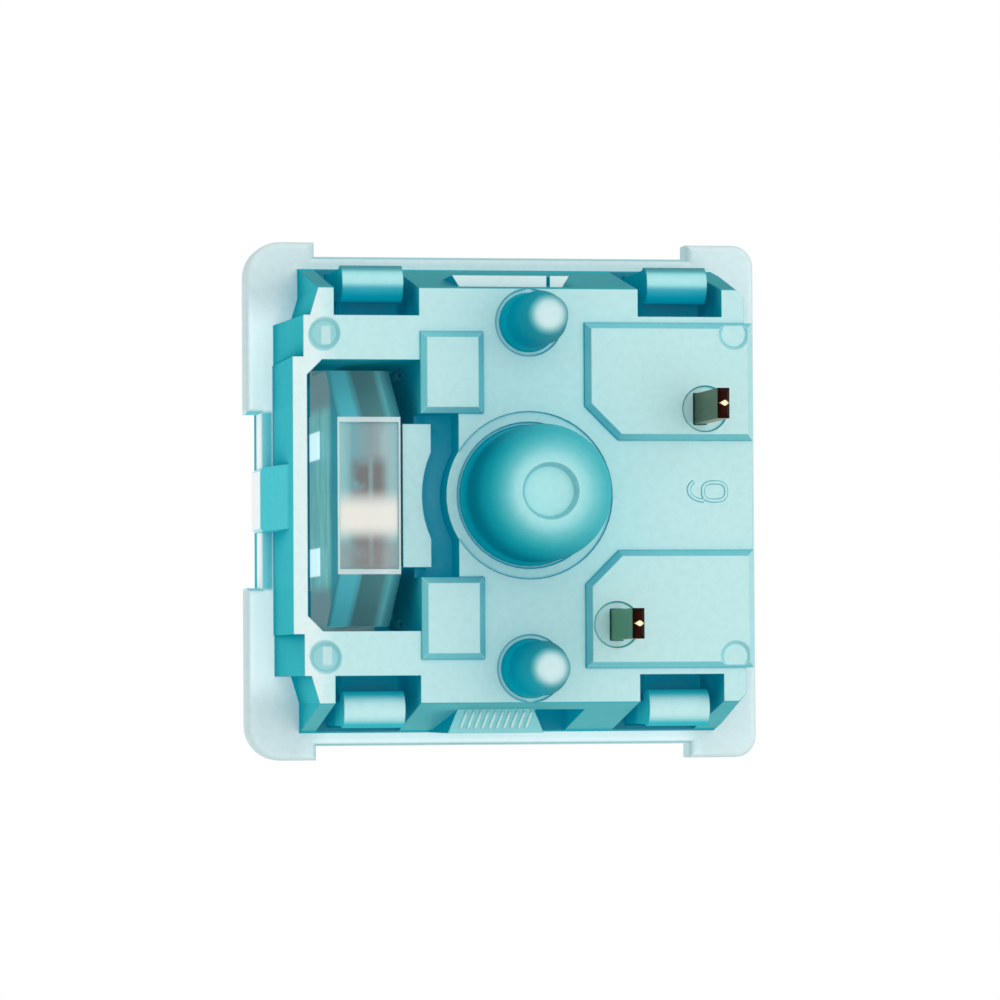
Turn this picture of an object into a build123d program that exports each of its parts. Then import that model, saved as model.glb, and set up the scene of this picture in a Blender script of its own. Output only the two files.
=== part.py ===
from build123d import *
import os

os.makedirs("parts", exist_ok=True)

# A mechanical keyboard switch. +Z runs up along the stem, the contact pins are on the +Y side,
# the light slot is on the -Y side. Z = 0 is the circuit board that the switch stands on, and the
# centre post's axis is X = Y = 0. All sizes are in millimetres.

# ------------------------------------------------------------------ heights above the board
standoff = 0.25  # pads lift the floor off the board by this much
floor_thick = 1.65
flange_z = 5.0  # underside of the flange, which rests on the mounting plate
flange_thick = 1.0
housing_top_z = 11.6
top_wall = 1.0
cross_height = 3.6
travel = 4.0
pick = 0.01  # tolerance for picking edges and faces by their place

# ------------------------------------------------------------------ shared clearances
slide_gap = 0.1  # stem against its guides
seat_gap = 0.03  # sheet metal and inserts against the housing
stop_gap = 0.05  # between faces that meet at the end of the travel

# ------------------------------------------------------------------ bottom housing
body_width = 13.95  # fits a 14 mm square plate cut-out
side_draft = 0.905  # the +X and -X sides lean in by this much towards the board
end_draft = 0.295  # and the other two by this much
body_corner_cut = 0.45
flange_reach = 0.825  # flange beyond the body, all round
flange_inset = 0.43  # the flange steps in by this much between its corners
flange_front_r = 1.05  # corners on the light side
flange_back_r = 0.65  # corners on the pin side
flange_round = 0.22
side_window = 11.42  # length of the stepped-in stretch on the +X and -X sides
front_window = 5.24  # and on the light side

post_r = 2.0
post_length = 3.3
post_shoulder = 1.9  # straight part of the centre post below the board
post_tip_r = 1.07
dimple_r = 0.83
dimple_depth = 0.3
dimple_draft = 0.11  # the dimple narrows by this much towards its floor
post_groove = 0.16  # groove round the post, inside the shallow ring
ring_depth = 0.07
groove_depth = 0.14
root_flare = 0.08  # posts widen by this much where they enter the floor

peg_spacing = 10.16
peg_r = 0.8
peg_length = 3.2
peg_shoulder = 1.7
peg_nose_r = 0.56  # pegs taper to this below their shoulder
peg_round = 0.26
peg_ring = 0.2

tube_wall = 0.47  # wall beyond the post, between it and the hollow beside the bridge
pole_r = 1.05
bore_floor = 1.2  # plastic left under the bore, at the tip of the centre post
collar_r = 1.6
collar_height = 2.4

pad_inner_x = 1.62
pad_margin = 0.99  # from the outer ends of the pads to the sides of the body
pad_inner_y = 1.64
pad_cut = 1.0
pad_bevel = 0.18
rest_pad_inner_x = 2.4
rest_pad_margin = 1.27
rest_pad_back_y = -1.37

slot_half_x = 3.97  # light slot
slot_inset = 0.395  # plastic left in front of the slot, at the flange
slot_back_y = -3.24
slot_corner_cut = 0.45
slot_wall = 0.42
slot_wall_reach = 0.08
step_half_x = 2.4  # the slot steps in towards the centre post
step_back_y = -2.11
bridge_half_x = 2.1  # bar between the light slot and the centre tube
bridge_front_y = -3.72
bridge_back_y = -2.88
bridge_arc = 0.68  # blind hollow between the tube and the bridge
bridge_lift = 0.35
hollow_depth = 1.3

pocket_wall = 0.52  # between the chamber and the pockets for the four latch legs
pocket_y = 4.52
pocket_length = 2.52
pocket_roof = 0.2  # plastic below the flange at the top of a pocket
front_shoulder = 0.2  # the two light-side corners are cut back by this much
front_shoulder_slant = 0.24
back_shoulder = 0.23  # and the two on the pin side

mark_inset = 0.52  # round ejector marks, from the pockets
mark_front = 0.53  # from the front of the light slot
mark_back = 0.58  # from the back of the body
mark_r = 0.47
mark_depth = 0.1
mark_taper = 50

catch_width = 2.1  # upright catch on the leaning -X side, where it leaves the body
catch_y = -0.87
catch_splay = 0.38  # it widens by this much at each end
catch_z = 1.35
ridge_width = 2.98  # the longer and shallower catch on the +X side
ridge_y = -0.46
ridge_splay = 0.26
ridge_reach = 0.42
ridge_z = 0.7
ridge_notch = 0.1
ridge_notch_y = 0.66
relief_width = 1.45  # hollow beside the catch on the -X side
relief_y = 0.36
relief_set = 0.2
relief_z = 1.4

tab_width = 1.9  # tab in the flange's gap on the light side
tab_reach = 0.55
tab_drop = 1.0
tab_ramp_z = 1.1
tab_corner_cut = 0.1

rail_clear = 0.4  # from the stem's rails to the chamber's sides
chamber_back = 0.82  # from the moving contact's pin to the chamber's back
guide_rib = 0.6

# ------------------------------------------------------------------ stem
stem_width = 7.1
stem_depth = 5.4
stem_lift = 0.5  # stem above the floor when it is pressed right down
stem_corner_r = 0.35
spring_room_r = 2.3
spring_ceiling = 1.2  # plastic above the spring's top end
rail_reach = 0.8
rail_width = 2.4
rail_lift = 0.15
leg_x = 1.9
leg_width = 1.2
leg_reach = 0.6
leg_top_reach = 0.2
leg_straight = 0.55
leg_top_gap = 0.2
cross_span = 4.1
cross_arm_x = 1.31  # thickness of the arm that runs along Y
cross_arm_y = 1.17  # thickness of the arm that runs along X
cross_chamfer = 0.18
pole_overlap = 1.1  # length of pole inside the collar when the stem is up
pole_chamfer = 0.25

# ------------------------------------------------------------------ spring
wire_r = 0.11
coil_r = 1.95  # radius to the middle of the wire
coil_turns = 9
wire_sides = 6  # the round wire is drawn with this many flats

# ------------------------------------------------------------------ top housing
skirt_thick = 0.6
skirt_step = 0.42
cover_clear = 0.85  # from the stem's rails to the cover's sides, at its top
top_width_y = 10.8
top_corner_cut = 0.8
shell_wall = 0.9
shell_flare = 0.5
window_round = 0.3
neck_offset = 0.14  # latch leg's neck, outwards from its foot
neck_thick = 0.7
neck_width = 1.7
leg_y = 4.55
latch_foot_r = 0.54
latch_foot_length = 1.81
latch_foot_gap = 0.45
latch_foot_z = 1.3
latch_gap = 0.05
ledge_height = 1.5

# ------------------------------------------------------------------ light guide
lens_front_gap = 0.92  # open part of the slot in front of the guide
lens_back_gap = 0.07
lens_bottom_z = 0.5
lens_bottom_half_x = 2.3
lens_side_gap = 0.17
lens_flare_z = 3.0
lens_lip = 0.6
lens_lip_thick = 0.6
lens_column_half_x = 2.6
lens_top_drop = 0.3
lens_slope_height = 1.1
lens_set = 0.24  # guide behind the sloping face of the top housing
lens_end_frame = 0.16  # frame left round the sunk bottom face
lens_side_frame = 0.07
lens_sink = 0.1

# ------------------------------------------------------------------ contacts
sheet = 0.35  # terminal sheet thickness
pin_width = 0.88
pin_length = 3.35
pin_tip_cut = 0.1
pin_ring_r = 0.69
pin_ring_taper = 20
pin_ring_shift = 0.14  # the moving contact's sink, beyond its pin
fixed_pin_x = -3.81
fixed_pin_y = 2.54
moving_pin_x = 2.54
moving_pin_y = 5.08
bend_r = 0.25
tongue_y = 3.695  # middle of the fixed contact plate
tongue_half_x = 0.95
tongue_top_z = 6.5
arm_height = 1.3
rest_rib_thick = 0.38
rest_rib_height = 1.4
plate_left_x = -1.4
plate_height = 2.1
leaf = 0.1
leaf_foot_half_x = 1.2
leaf_foot_height = 1.5
leaf_set = 0.34  # how far the leaf's upper part stands in from its foot
leaf_bend = 1.0  # height over which it does so
leaf_gap = 0.01  # hairline between the leaf and its terminal
leaf_neck_half_x = 0.75
leaf_wing_z = 5.3
leaf_half_x = 2.3
leaf_top_z = 7.2
lug_width = 0.6
lug_drop = 0.6
lug_gap = 0.08
contact_z = 6.05
contact_bar = 0.2
contact_thick = 0.12
contact_length = 0.7

# ------------------------------------------------------------------ worked out from the above
floor_z = standoff + floor_thick
split_z = flange_z + flange_thick
stem_top_z = housing_top_z
ceiling_z = stem_top_z - spring_ceiling
stem_bottom_z = floor_z + travel + stem_lift
rail_bottom_z = floor_z + travel + rail_lift
rail_top_z = housing_top_z - top_wall - stop_gap
pole_tip_z = floor_z + collar_height - pole_overlap

body_half = body_width / 2
foot_half_x = body_half - side_draft
foot_half_y = body_half - end_draft
flange_width = body_width + 2 * flange_reach
flange_half = flange_width / 2
rim_half = flange_half - flange_inset
stem_half_x = stem_width / 2
stem_half_y = stem_depth / 2
rail_x = stem_half_x + rail_reach
chamber_half_x = rail_x + rail_clear
chamber_front_y = -(stem_half_y + slide_gap + stop_gap)
chamber_back_y = moving_pin_y + chamber_back
pocket_inner_x = chamber_half_x + pocket_wall
slot_front_y = slot_inset - body_half
wall_front_y = slot_front_y - slot_wall
tube_r = post_r + tube_wall
bridge_arc_r = tube_r + bridge_arc
bore_r = pole_r + slide_gap

latch_foot_x = pocket_inner_x + latch_foot_r + latch_foot_gap
neck_x = latch_foot_x + neck_offset
neck_inner_x = neck_x - neck_thick / 2
ledge_z = latch_foot_z + latch_foot_r + latch_gap
top_base_width = 2 * (rim_half - skirt_step)
top_width_x = 2 * (rail_x + cover_clear)
lens_front_y = slot_front_y + lens_front_gap
lens_back_y = bridge_front_y - lens_back_gap
lens_wide_half_x = slot_half_x - lens_side_gap
lens_lip_half_x = lens_wide_half_x + lens_lip
lens_top_z = housing_top_z - lens_top_drop

plate_y = moving_pin_y
leaf_foot_y = plate_y - sheet / 2 - leaf / 2 - leaf_gap
leaf_y = leaf_foot_y - leaf_set
cam_y = stem_half_y + leg_reach
lug_y = cam_y + lug_gap + leaf / 2
sides = (-1, 1)


def rectangle_between(x_low, x_high, y_low, y_high, mode=Mode.ADD):
    """A rectangle given by its four sides, in the sketch that is being built."""
    with Locations(((x_low + x_high) / 2, (y_low + y_high) / 2)):
        Rectangle(x_high - x_low, y_high - y_low, mode=mode)


def catch_outline(side, middle_y, width, splay, outer_x):
    """A catch on the +X or -X side, wider at its outer face than where it leaves the body."""
    Polygon(
        (side * foot_half_x, middle_y - width / 2),
        (side * outer_x, middle_y - width / 2 - splay),
        (side * outer_x, middle_y + width / 2 + splay),
        (side * foot_half_x, middle_y + width / 2),
        align=None,
    )


# ================================================================== bottom housing
with BuildPart() as bottom_housing:
    # Tapered body, which enters the plate's cut-out.
    with BuildSketch(Plane.XY.offset(standoff)) as foot_outline:
        Rectangle(2 * foot_half_x, 2 * foot_half_y)
        chamfer(foot_outline.vertices(), body_corner_cut)
    with BuildSketch(Plane.XY.offset(flange_z)) as body_outline:
        Rectangle(body_width, body_width)
        chamfer(body_outline.vertices(), body_corner_cut)
    loft()

    # Wall along the outside of the light slot, square where the body tapers.
    with BuildSketch(Plane.XY.offset(standoff)):
        wall_half_x = slot_half_x + slot_wall_reach
        rectangle_between(-wall_half_x, wall_half_x, wall_front_y, slot_front_y + slot_wall)
    extrude(amount=flange_z - standoff)

    # Flange: full width at the corners and the pin side, stepped in between them.
    with BuildSketch(Plane.XY.offset(flange_z)) as flange_outline:
        Rectangle(flange_width, flange_width)
        fillet(flange_outline.vertices().group_by(Axis.Y)[0], flange_front_r)
        fillet(flange_outline.vertices().group_by(Axis.Y)[-1], flange_back_r)
        with Locations((-flange_half, 0), (flange_half, 0)):
            Rectangle(2 * flange_inset, side_window, mode=Mode.SUBTRACT)
        with Locations((0, -flange_half)):
            Rectangle(front_window, 2 * flange_inset, mode=Mode.SUBTRACT)
    extrude(amount=flange_thick)
    flange_rims = bottom_housing.edges().filter_by_position(Axis.Z, flange_z, flange_z)
    rim_from = rim_half - pick
    outer_rims = flange_rims.filter_by(lambda e: max(abs(e.center().X), abs(e.center().Y)) > rim_from)
    fillet(outer_rims, flange_round)

    # Tab in the flange's gap, with a ramp below it.
    tab_y = -(body_half + tab_reach)
    tab_z = flange_z - tab_drop
    with BuildSketch(Plane.YZ.offset(-tab_width / 2)):
        with BuildLine():
            Polyline(
                (slot_front_y, split_z),
                (tab_y, split_z),
                (tab_y, tab_z),
                (wall_front_y, tab_ramp_z),
                (slot_front_y, tab_ramp_z),
                close=True,
            )
        make_face()
    extrude(amount=tab_width)
    upright_edges = bottom_housing.edges().filter_by(Axis.Z)
    tab_corners = upright_edges.filter_by_position(Axis.Y, tab_y - pick, tab_y + pick)
    chamfer(tab_corners, tab_corner_cut)

    # Hollow beside the catch on the -X side.
    with BuildSketch(Plane.XY.offset(relief_z)):
        rectangle_between(-body_half, -foot_half_x - relief_set, relief_y, relief_y + relief_width)
    extrude(amount=flange_z - relief_z - pocket_roof, mode=Mode.SUBTRACT)

    # Catches in the middle of the two sides, upright where the side leans in.
    with BuildSketch(Plane.XY.offset(catch_z)):
        catch_outline(-1, catch_y, catch_width, catch_splay, body_half)
    extrude(amount=flange_z - catch_z)
    with BuildSketch(Plane.XY.offset(ridge_z)):
        catch_outline(1, ridge_y, ridge_width, ridge_splay, foot_half_x + ridge_reach)
        with Locations((body_half, ridge_notch_y)):
            Rectangle(2 * side_draft, ridge_notch, mode=Mode.SUBTRACT)
    extrude(amount=flange_z - ridge_z)

    # Ring and groove sunk into the floor round the centre post.
    for sink_r, sink_depth in ((tube_r, ring_depth), (post_r + post_groove, groove_depth)):
        with BuildSketch(Plane.XY.offset(standoff)):
            Circle(sink_r)
        extrude(amount=sink_depth, mode=Mode.SUBTRACT)

    # Centre post with its domed tip and gate dimple.
    dome_reach = post_r - post_tip_r
    dome_drop = post_length - post_shoulder
    post_root_z = standoff + groove_depth
    with BuildSketch(Plane.XZ):
        with BuildLine():
            Polyline(
                (0, floor_z),
                (post_r + root_flare, floor_z),
                (post_r + root_flare, post_root_z),
                (post_r, 0),
                (post_r, -post_shoulder),
            )
            EllipticalCenterArc((post_tip_r, -post_shoulder), dome_reach, dome_drop, 270, arc_size=90)
            Polyline(
                (post_tip_r, -post_length),
                (dimple_r, -post_length),
                (dimple_r - dimple_draft, dimple_depth - post_length),
                (0, dimple_depth - post_length),
                (0, floor_z),
            )
        make_face()
    revolve(axis=Axis.Z)

    # Two locating pegs, each in its own shallow ring.
    with BuildSketch(Plane.XY.offset(standoff)):
        with Locations((-peg_spacing / 2, 0), (peg_spacing / 2, 0)):
            Circle(peg_r + peg_ring)
    extrude(amount=ring_depth, mode=Mode.SUBTRACT)
    peg_root_z = standoff + ring_depth
    for side in sides:
        with BuildSketch(Plane(origin=(side * peg_spacing / 2, 0, 0), x_dir=(1, 0, 0), z_dir=(0, -1, 0))):
            with BuildLine():
                Polyline(
                    (0, floor_z),
                    (peg_r + root_flare, floor_z),
                    (peg_r + root_flare, peg_root_z),
                    (peg_r, 0),
                    (peg_r, -peg_shoulder),
                    (peg_nose_r, -peg_length),
                    (0, -peg_length),
                    close=True,
                )
            make_face()
        revolve(axis=Axis((side * peg_spacing / 2, 0, 0), (0, 0, 1)))
    round_edges = bottom_housing.edges().filter_by(GeomType.CIRCLE)
    fillet(round_edges.filter_by_position(Axis.Z, -peg_length - pick, -peg_length + pick), peg_round)

    # Pads that stand on the board: two round the contact pins, two beside the light slot.
    pad_outer_x = foot_half_x - pad_margin
    for side in sides:
        with BuildSketch(Plane.XY.offset(standoff)):
            with BuildLine():
                Polyline(
                    (side * pad_inner_x, foot_half_y),
                    (side * pad_inner_x, pad_inner_y + pad_cut),
                    (side * (pad_inner_x + pad_cut), pad_inner_y),
                    (side * pad_outer_x, pad_inner_y),
                    (side * pad_outer_x, foot_half_y),
                    close=True,
                )
            make_face()
        extrude(amount=-standoff)
    with BuildSketch(Plane.XY.offset(standoff)):
        for side in sides:
            x_low, x_high = sorted((side * rest_pad_inner_x, side * (foot_half_x - rest_pad_margin)))
            rectangle_between(x_low, x_high, slot_back_y, rest_pad_back_y)
    extrude(amount=-standoff)
    pad_faces = bottom_housing.faces().filter_by(Axis.Z).filter_by_position(Axis.Z, -pick, pick)
    chamfer(pad_faces.edges(), pad_bevel)

    # Ejector marks in the corners, two on the floor and two on the pads.
    mark_x = pocket_inner_x - mark_inset
    for mark_y, mark_z in ((slot_front_y + mark_front, standoff), (foot_half_y - mark_back, 0)):
        with BuildSketch(Plane.XY.offset(mark_z)):
            with Locations((-mark_x, mark_y), (mark_x, mark_y)):
                Circle(mark_r)
        extrude(amount=mark_depth, taper=mark_taper, mode=Mode.SUBTRACT)

    # Chamber for the stem and the contacts, open to the top housing.
    with BuildSketch(Plane.XY.offset(floor_z)):
        rectangle_between(-chamber_half_x, chamber_half_x, chamber_front_y, chamber_back_y)
    extrude(amount=split_z - floor_z, mode=Mode.SUBTRACT)

    # Light slot right through, then its blind step towards the centre post.
    with BuildSketch(Plane.XY.offset(standoff)) as slot_outline:
        rectangle_between(-slot_half_x, slot_half_x, slot_front_y, slot_back_y)
        slot_corners = slot_outline.vertices().group_by(Axis.Y)[0]
        chamfer(slot_corners, slot_corner_cut)
    extrude(amount=split_z - standoff, mode=Mode.SUBTRACT)
    with BuildSketch(Plane.XY.offset(standoff)):
        rectangle_between(-step_half_x, step_half_x, slot_back_y, step_back_y)
        Circle(tube_r, mode=Mode.SUBTRACT)
    extrude(amount=hollow_depth, mode=Mode.SUBTRACT)

    # Bridge between the light slot and the centre tube, hollowed round the tube.
    with BuildSketch(Plane.XY.offset(standoff + bridge_lift)):
        rectangle_between(-bridge_half_x, bridge_half_x, bridge_front_y, bridge_back_y)
    extrude(amount=split_z - standoff - bridge_lift)
    with BuildSketch(Plane.XY.offset(standoff)):
        Circle(bridge_arc_r)
        rectangle_between(-bridge_arc_r, bridge_arc_r, bridge_back_y, bridge_arc_r, mode=Mode.SUBTRACT)
    extrude(amount=hollow_depth, mode=Mode.SUBTRACT)

    # The four corners, cut back below the flange.
    front_cut_y = front_shoulder - foot_half_y
    with BuildSketch(Plane.XY.offset(standoff)):
        for side in sides:
            with BuildLine():
                Polyline(
                    (side * pocket_inner_x, -body_width),
                    (side * pocket_inner_x, front_cut_y),
                    (side * foot_half_x, front_cut_y + front_shoulder_slant),
                    (side * body_width, front_cut_y + front_shoulder_slant),
                    (side * body_width, -body_width),
                    close=True,
                )
            make_face()
            x_low, x_high = sorted((side * pad_outer_x, side * body_width))
            rectangle_between(x_low, x_high, foot_half_y - back_shoulder, body_width)
    extrude(amount=flange_z - standoff, mode=Mode.SUBTRACT)

    # Four pockets for the latch legs, open to the outside, and their slots through the flange.
    for x_side in sides:
        for y_side in sides:
            with BuildSketch(Plane.XY):
                x_low, x_high = sorted((x_side * pocket_inner_x, x_side * flange_half))
                y_low = y_side * pocket_y - pocket_length / 2
                rectangle_between(x_low, x_high, y_low, y_low + pocket_length)
            extrude(amount=flange_z - pocket_roof, mode=Mode.SUBTRACT)
            with BuildSketch(Plane.XY.offset(split_z)):
                with Locations((x_side * neck_x, y_side * leg_y)):
                    Rectangle(neck_thick + 2 * latch_gap, neck_width + 2 * latch_gap)
            extrude(amount=-(flange_thick + pocket_roof), mode=Mode.SUBTRACT)
            # Ledge that the leg's foot snaps under, ramped on top.
            with BuildSketch(Plane.XZ.offset(-y_side * leg_y - neck_width / 2)):
                with BuildLine():
                    Polyline(
                        (x_side * (pocket_inner_x - seat_gap), ledge_z),
                        (x_side * (neck_inner_x - latch_gap), ledge_z),
                        (x_side * (pocket_inner_x - seat_gap), ledge_z + ledge_height),
                        close=True,
                    )
                make_face()
            extrude(amount=neck_width)

    # Collar that guides the stem's pole, with the bore running down into the centre post.
    with BuildSketch(Plane.XY.offset(floor_z)):
        Circle(collar_r)
    extrude(amount=collar_height)
    with BuildSketch(Plane.XY.offset(floor_z + collar_height)):
        Circle(bore_r)
    extrude(amount=-(floor_z + collar_height + post_length - bore_floor), mode=Mode.SUBTRACT)

    # Ribs either side of each rail.
    rib_inner_x = stem_half_x + slide_gap
    rib_mid_x = (rib_inner_x + chamber_half_x) / 2
    rib_y = rail_width / 2 + slide_gap + guide_rib / 2
    with BuildSketch(Plane.XY.offset(floor_z)):
        for side in sides:
            with Locations((side * rib_mid_x, rib_y), (side * rib_mid_x, -rib_y)):
                Rectangle(chamber_half_x - rib_inner_x, guide_rib)
    extrude(amount=split_z - floor_z)

    # Ribs that the two terminals stand against.
    with BuildSketch(Plane.XY.offset(floor_z)):
        tongue_back_y = tongue_y + sheet / 2 + seat_gap
        rib_back_y = tongue_back_y + rest_rib_thick
        rectangle_between(fixed_pin_x - pin_width / 2, tongue_half_x, tongue_back_y, rib_back_y)
        plate_back_y = plate_y + sheet / 2 + seat_gap
        rectangle_between(plate_left_x, moving_pin_x + pin_width / 2, plate_back_y, chamber_back_y)
    extrude(amount=rest_rib_height)

    # Slots for the pins, each opening in a round sink on the pad.
    fixed_slot = (fixed_pin_x, fixed_pin_y, 0)
    moving_slot = (moving_pin_x, moving_pin_y, pin_ring_shift)
    for pin_x, pin_y, ring_shift in (fixed_slot, moving_slot):
        with BuildSketch(Plane.XY):
            with Locations((pin_x, pin_y)):
                Rectangle(pin_width + 2 * seat_gap, sheet + 2 * seat_gap)
        extrude(amount=floor_z, mode=Mode.SUBTRACT)
        with BuildSketch(Plane.XY):
            with Locations((pin_x, pin_y + ring_shift)):
                Circle(pin_ring_r)
        extrude(amount=mark_depth, taper=pin_ring_taper, mode=Mode.SUBTRACT)

bottom_housing.part.label = "bottom_housing"
export_step(bottom_housing.part, "parts/bottom_housing.step")

# ================================================================== top housing
with BuildPart() as top_housing:
    # Skirt on the flange, and the tapered cover above it.
    with BuildSketch(Plane.XY.offset(split_z)) as skirt_outline:
        Rectangle(2 * rim_half, 2 * rim_half)
        chamfer(skirt_outline.vertices(), top_corner_cut)
    extrude(amount=skirt_thick)
    with BuildSketch(Plane.XY.offset(split_z + skirt_thick)) as cover_base:
        Rectangle(top_base_width, top_base_width)
        chamfer(cover_base.vertices(), top_corner_cut)
    with BuildSketch(Plane.XY.offset(housing_top_z)) as cover_top:
        Rectangle(top_width_x, top_width_y)
        chamfer(cover_top.vertices(), top_corner_cut)
    loft()

    # Inside of the shell.
    with BuildSketch(Plane.XY.offset(split_z)):
        Rectangle(top_base_width - 2 * shell_wall, top_base_width - 2 * shell_wall)
    with BuildSketch(Plane.XY.offset(housing_top_z - top_wall)):
        shell_step = shell_flare - 2 * shell_wall
        Rectangle(top_width_x + shell_step, top_width_y + shell_step)
    loft(mode=Mode.SUBTRACT)

    # Solid round the light guide's column, with the opening that the column fills.
    column_front_y = lens_front_y - seat_gap * 2
    column_back_y = lens_back_y + seat_gap * 2
    column_half_x = lens_column_half_x + seat_gap * 2
    lip_top_z = split_z + lens_lip_thick + seat_gap
    with BuildSketch(Plane.YZ.offset(-column_half_x - shell_wall)):
        with BuildLine():
            Polyline(
                (column_front_y - shell_wall / 2, lip_top_z),
                (column_back_y + shell_wall / 2, lip_top_z),
                (column_back_y + shell_wall / 2, housing_top_z - top_wall / 2),
                (-top_width_y / 2 + shell_wall / 4, housing_top_z - top_wall / 2),
                close=True,
            )
        make_face()
    extrude(amount=2 * (column_half_x + shell_wall))
    with BuildSketch(Plane.XY.offset(lip_top_z)):
        rectangle_between(-column_half_x, column_half_x, column_front_y, column_back_y)
    extrude(amount=housing_top_z - lip_top_z + top_wall, mode=Mode.SUBTRACT)

    # Opening that the stem slides in.
    with BuildSketch(Plane.XY.offset(housing_top_z)) as stem_opening:
        Rectangle(stem_width + 2 * slide_gap, stem_depth + 2 * slide_gap)
        fillet(stem_opening.vertices(), window_round)
    extrude(amount=split_z - housing_top_z, mode=Mode.SUBTRACT)

    # Four latch legs, each a neck with a rounded foot across its end.
    for x_side in sides:
        for y_side in sides:
            with BuildSketch(Plane.XY.offset(latch_foot_z)):
                with Locations((x_side * neck_x, y_side * leg_y)):
                    Rectangle(neck_thick, neck_width)
            extrude(amount=split_z + skirt_thick / 2 - latch_foot_z)
            with BuildSketch(Plane.XZ.offset(-y_side * leg_y - latch_foot_length / 2)):
                with Locations((x_side * latch_foot_x, latch_foot_z)):
                    Circle(latch_foot_r)
            extrude(amount=latch_foot_length)

top_housing.part.label = "top_housing"
export_step(top_housing.part, "parts/top_housing.step")

# ================================================================== stem
with BuildPart() as stem:
    with BuildSketch(Plane.XY.offset(stem_bottom_z)) as stem_outline:
        Rectangle(stem_width, stem_depth)
        fillet(stem_outline.vertices(), stem_corner_r)
    extrude(amount=stem_top_z - stem_bottom_z)

    # Rails that run in the ribs and stop under the top housing.
    with BuildSketch(Plane.XY.offset(rail_bottom_z)):
        Rectangle(2 * rail_x, rail_width)
    extrude(amount=rail_top_z - rail_bottom_z)

    # Two legs whose outer faces slope back, so that the leaf follows as they go down.
    leg_top_z = rail_top_z - leg_top_gap
    for side in sides:
        with BuildSketch(Plane.YZ.offset(side * leg_x - leg_width / 2)):
            with BuildLine():
                Polyline(
                    (stem_half_y - leg_reach, rail_bottom_z),
                    (cam_y, rail_bottom_z),
                    (cam_y, rail_bottom_z + leg_straight),
                    (stem_half_y + leg_top_reach, leg_top_z),
                    (stem_half_y - leg_reach, leg_top_z),
                    close=True,
                )
            make_face()
        extrude(amount=leg_width)

    # Room for the spring, with the pole down its middle.
    with BuildSketch(Plane.XY.offset(rail_bottom_z)):
        Circle(spring_room_r)
    extrude(amount=ceiling_z - rail_bottom_z, mode=Mode.SUBTRACT)
    with BuildSketch(Plane.XY.offset(pole_tip_z)):
        Circle(pole_r)
    extrude(amount=stem_top_z - pole_tip_z)
    pole_tip = stem.edges().filter_by(GeomType.CIRCLE).sort_by(Axis.Z)[0]
    chamfer(pole_tip, pole_chamfer)

    # Cross that carries the keycap.
    with BuildSketch(Plane.XY.offset(stem_top_z)):
        Rectangle(cross_span, cross_arm_y)
        Rectangle(cross_arm_x, cross_span)
    extrude(amount=cross_height)
    cross_rim = stem.faces().sort_by(Axis.Z)[-1].edges()
    chamfer(cross_rim, cross_chamfer)

stem.part.label = "stem"
export_step(stem.part, "parts/stem.step")

# ================================================================== spring
spring_height = ceiling_z - floor_z - 2 * wire_r - 2 * seat_gap
with BuildPart() as spring:
    with BuildLine():
        Helix(
            pitch=spring_height / coil_turns,
            height=spring_height,
            radius=coil_r,
            center=(0, 0, floor_z + wire_r + seat_gap),
        )
    with BuildSketch(Plane.XZ):
        with Locations((coil_r, floor_z + wire_r + seat_gap)):
            RegularPolygon(wire_r, wire_sides)
    sweep(is_frenet=True)

spring.part.label = "spring"
export_step(spring.part, "parts/spring.step")

# ================================================================== light guide
with BuildPart() as light_guide:
    lip_z = split_z + seat_gap
    lip_top = split_z + lens_lip_thick
    with BuildSketch(Plane.XZ.offset(-lens_back_y)):
        with BuildLine():
            Polyline(
                (-lens_bottom_half_x, lens_bottom_z),
                (lens_bottom_half_x, lens_bottom_z),
                (lens_wide_half_x, lens_flare_z),
                (lens_wide_half_x, lip_z),
                (lens_lip_half_x, lip_z),
                (lens_lip_half_x, lip_top),
                (lens_column_half_x, lip_top),
                (lens_column_half_x, lens_top_z),
                (-lens_column_half_x, lens_top_z),
                (-lens_column_half_x, lip_top),
                (-lens_lip_half_x, lip_top),
                (-lens_lip_half_x, lip_z),
                (-lens_wide_half_x, lip_z),
                (-lens_wide_half_x, lens_flare_z),
                close=True,
            )
        make_face()
    extrude(amount=lens_back_y - lens_front_y)
    # The front of the column follows the slope of the top housing.
    with BuildSketch(Plane.YZ.offset(-lens_column_half_x)):
        with BuildLine():
            Polyline(
                (lens_front_y, lens_top_z - lens_slope_height),
                (lens_front_y, lens_top_z),
                (lens_set - top_width_y / 2, lens_top_z),
                close=True,
            )
        make_face()
    extrude(amount=2 * lens_column_half_x, mode=Mode.SUBTRACT)

    # Bottom face, sunk inside a narrow frame.
    with BuildSketch(Plane.XY.offset(lens_bottom_z)):
        sunk_half_x = lens_bottom_half_x - lens_end_frame
        sunk_front_y = lens_front_y + lens_side_frame
        rectangle_between(-sunk_half_x, sunk_half_x, sunk_front_y, lens_back_y - lens_side_frame)
    extrude(amount=lens_sink, mode=Mode.SUBTRACT)

light_guide.part.label = "light_guide"
export_step(light_guide.part, "parts/light_guide.step")

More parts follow.
